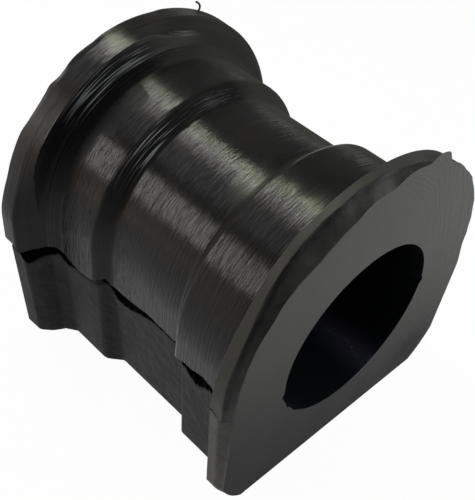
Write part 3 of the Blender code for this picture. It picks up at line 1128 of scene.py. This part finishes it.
@dataclass(frozen=True)
class BoreRubber:
    """The bore's wall: near black, with one painted highlight: a streak where a lamp's reflection runs along
    it, broken by fine scratches.
    """

    colour: Colour = (0.0014, 0.0024, 0.0030)
    scuff: Colour = (0.017, 0.018, 0.030)
    scratch: Colour = (0.10, 0.10, 0.12)
    shine: float = 0.6
    streak_angle: float = -62.0
    streak_width: float = 9.0
    streak_start: Reach = (2.0, 18.0)
    line_width: float = 2.2
    line_start: Reach = (11.0, 16.0)

    def make(self) -> bpy.types.Material:
        """Build the material.

        Returns:
            The material.
        """
        coat = Coat("bore_rubber", 0.05)
        graph = coat.graph
        angle = graph.math("ARCTAN2", coat.z, coat.y) * math.degrees(1.0)
        # Painted highlight: a lamp's reflection laid as a streak along the wall, with a brighter line in it.
        streak = angle.hump(self.streak_angle, self.streak_width) * coat.x.eased(*self.streak_start)
        line = angle.hump(self.streak_angle + 1.0, self.line_width) * coat.x.eased(*self.line_start)
        hatch = graph.grain(graph.vector(coat.x * 1.5, angle * 0.9, 0.0), 1.4, 2.0, 0.6, 21.0)
        fine = graph.grain(coat.place, 2.5, 3.0, 0.6, 22.0)
        colour = graph.tint(streak, self.colour, self.scuff)
        colour = graph.tint(line * hatch.eased(0.2, 0.8), colour, self.scratch)
        return coat.finish(colour, self.shine + fine * 0.04, fine, 0.04)


@dataclass(frozen=True)
class Lamp:
    """A soft rectangular lamp that shines at the block from one way."""

    name: str
    way: tuple[float, float, float]
    distance: float
    offset: tuple[float, float]
    size: tuple[float, float]
    twist: float
    level: float
    colour: Colour

    def power(self) -> float:
        """Watts that give the lamp's face its level."""
        return self.level * math.pi * self.size[0] * self.size[1]

    def place(self, middle: Vector) -> Matrix:
        """Where the lamp hangs, with its long side as near to the bore's direction as it can be.

        Args:
            middle: The point that the lamp's distance is measured from.

        Returns:
            The lamp's place and turn.
        """
        back = Vector(self.way).normalized()
        side = (Vector((1.0, 0.0, 0.0)) - back * back.x).normalized()
        rise = back.cross(side)
        turn = Matrix((side, rise, back)).transposed().to_4x4()
        spin = Matrix.Rotation(math.radians(self.twist), 4, "Z")
        centre = middle + back * self.distance + side * self.offset[0] + rise * self.offset[1]
        return Matrix.Translation(centre) @ turn @ spin


@dataclass(frozen=True)
class Studio:
    """A pale floor, soft lamps and the camera."""

    camera_place: tuple[float, float, float] = (0.06008, -0.06786, 0.10591)
    camera_right: tuple[float, float, float] = (0.67623, 0.72978, 0.10064)
    camera_up: tuple[float, float, float] = (-0.55170, 0.41114, 0.72567)
    camera_look: tuple[float, float, float] = (-0.48820, 0.54624, -0.68065)
    lens: float = 56.05
    sensor_width: float = 36.0
    lamps_middle: tuple[float, float, float] = (0.0, 0.0, 0.025)
    lamps: tuple[Lamp, ...] = (
        Lamp("thin_top_lamp", TOP_WAY, 0.35, (0.003, 0.056), (0.165, 0.030), 9.0, 16.0, (0.93, 1.0, 0.76)),
        Lamp("wide_top_lamp", TOP_WAY, 0.35, (0.020, -0.006), (0.112, 0.082), 0.0, 11.5, (1.0, 0.97, 0.93)),
        Lamp("groove_lamp", TOP_WAY, 0.34, (0.042, 0.012), (0.022, 0.040), 0.0, 48.0, (1.0, 0.98, 0.90)),
        Lamp("front_end_lamp", TOP_WAY, 0.34, (0.073, 0.051), (0.026, 0.024), 0.0, 58.0, (0.97, 1.0, 0.72)),
        Lamp("between_lamp", TOP_WAY, 0.36, (0.020, -0.128), (0.110, 0.140), 0.0, 2.8, (0.96, 0.94, 1.0)),
        Lamp("left_lamp", LEFT_WAY, 0.35, (-0.006, -0.026), (0.156, 0.124), 0.0, 9.5, (1.0, 0.96, 0.91)),
        Lamp("low_left_lamp", LEFT_WAY, 0.35, (-0.010, -0.150), (0.156, 0.120), 0.0, 1.2, (1.0, 0.80, 0.64)),
        Lamp("front_lamp", (0.72, 0.52, 0.45), 0.12, (0.0, 0.0), (0.08, 0.08), 0.0, 4.2, (1.0, 1.0, 0.98)),
    )
    world_light: float = 0.22
    floor_glow: float = 0.97
    floor_reach: float = 2.0
    floor_gap: float = 0.0002

    def make_camera(self) -> None:
        """Place the camera as the photograph's."""
        camera = bpy.data.objects.new("camera", bpy.data.cameras.new("camera"))
        camera.data.sensor_fit = "HORIZONTAL"
        camera.data.sensor_width = self.sensor_width
        camera.data.lens = self.lens
        camera.data.clip_start = 0.005
        right, up, look = Vector(self.camera_right), Vector(self.camera_up), Vector(self.camera_look)
        turn = Matrix((right, up, -look)).transposed().to_4x4()
        camera.matrix_world = Matrix.Translation(self.camera_place) @ turn
        bpy.context.scene.collection.objects.link(camera)
        bpy.context.scene.camera = camera

    def make_lamps(self) -> None:
        """Hang the soft lamps."""
        for plan in self.lamps:
            light = bpy.data.lights.new(plan.name, "AREA")
            light.shape = "RECTANGLE"
            light.size, light.size_y = plan.size
            light.energy = plan.power()
            light.color = plan.colour
            lamp = bpy.data.objects.new(plan.name, light)
            lamp.matrix_world = plan.place(Vector(self.lamps_middle))
            bpy.context.scene.collection.objects.link(lamp)

    def make_floor(self) -> None:
        """Lay the pale floor and set the world's light."""
        mesh = bpy.data.meshes.new("floor")
        corners = ((-1.0, -1.0), (1.0, -1.0), (1.0, 1.0), (-1.0, 1.0))
        mesh.from_pydata([(self.floor_reach * x, self.floor_reach * y, 0.0) for x, y in corners],
                         [], [(0, 1, 2, 3)])
        floor = bpy.data.objects.new("floor", mesh)
        floor.location.z = -self.floor_gap
        bpy.context.scene.collection.objects.link(floor)
        mesh.materials.append(self._pale_material())
        world = bpy.data.worlds.new("studio")
        world.use_nodes = True
        background = world.node_tree.nodes["Background"]
        Graph(world.node_tree).feed(background, {"Color": WHITE, "Strength": self.world_light})
        bpy.context.scene.world = world

    def _pale_material(self) -> bpy.types.Material:
        """The floor's material: white to the eye and in reflections, and still taking the block's shadow.

        Returns:
            The material.
        """
        material = bpy.data.materials.new("pale_floor")
        material.use_nodes = True
        graph = Graph(material.node_tree)
        shader = material.node_tree.nodes["Principled BSDF"]
        graph.feed(shader, {"Base Color": (0.5, 0.5, 0.5, 1.0), "Roughness": 0.9})
        glow = graph.node("ShaderNodeEmission", None, {"Color": WHITE, "Strength": 1.0})
        path = graph.node("ShaderNodeLightPath", None, None, "Is Camera Ray")
        seen = path.math("MAXIMUM", path.other("Is Glossy Ray"))
        seen = seen.math("MAXIMUM", path.other("Is Transmission Ray"))
        graph.cover(seen * self.floor_glow, glow)
        return material


def main() -> None:
    """Build the dressed bushing and its studio."""
    logging.basicConfig(level=logging.INFO, format="%(name)s: %(message)s")
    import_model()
    studio = Studio()
    studio.make_camera()
    sizes, wear = Sizes(), Wear()
    finishes = {Zone.SKIN: MouldedRubber(wear.knife_start, wear.seam).make(),
                Zone.LOWER: DullRubber(wear.seam, wear.tear_height).make(),
                Zone.TORN: TornRubber().make(),
                Zone.FRONT_FACE: CutRubber().make(),
                Zone.BORE: BoreRubber().make(),
                Zone.REAR_FACE: CutRubber("rear_rubber", (0.026, 0.026, 0.026), (0.018, 0.018, 0.018)).make()}
    body = Body(sizes, Rows(), Rings(), wear).make(finishes)
    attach(body, BODY)
    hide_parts("bushing")
    LOG.info("%s: %d points", body.name, len(body.data.vertices))
    thread = FlashThread().make(sizes, finishes[Zone.REAR_FACE])
    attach(thread, BODY)
    LOG.info("%s: %d points", thread.name, len(thread.data.vertices))
    studio.make_floor()
    studio.make_lamps()
    bpy.context.scene.view_settings.view_transform = "Standard"


if __name__ == "__main__":
    main()
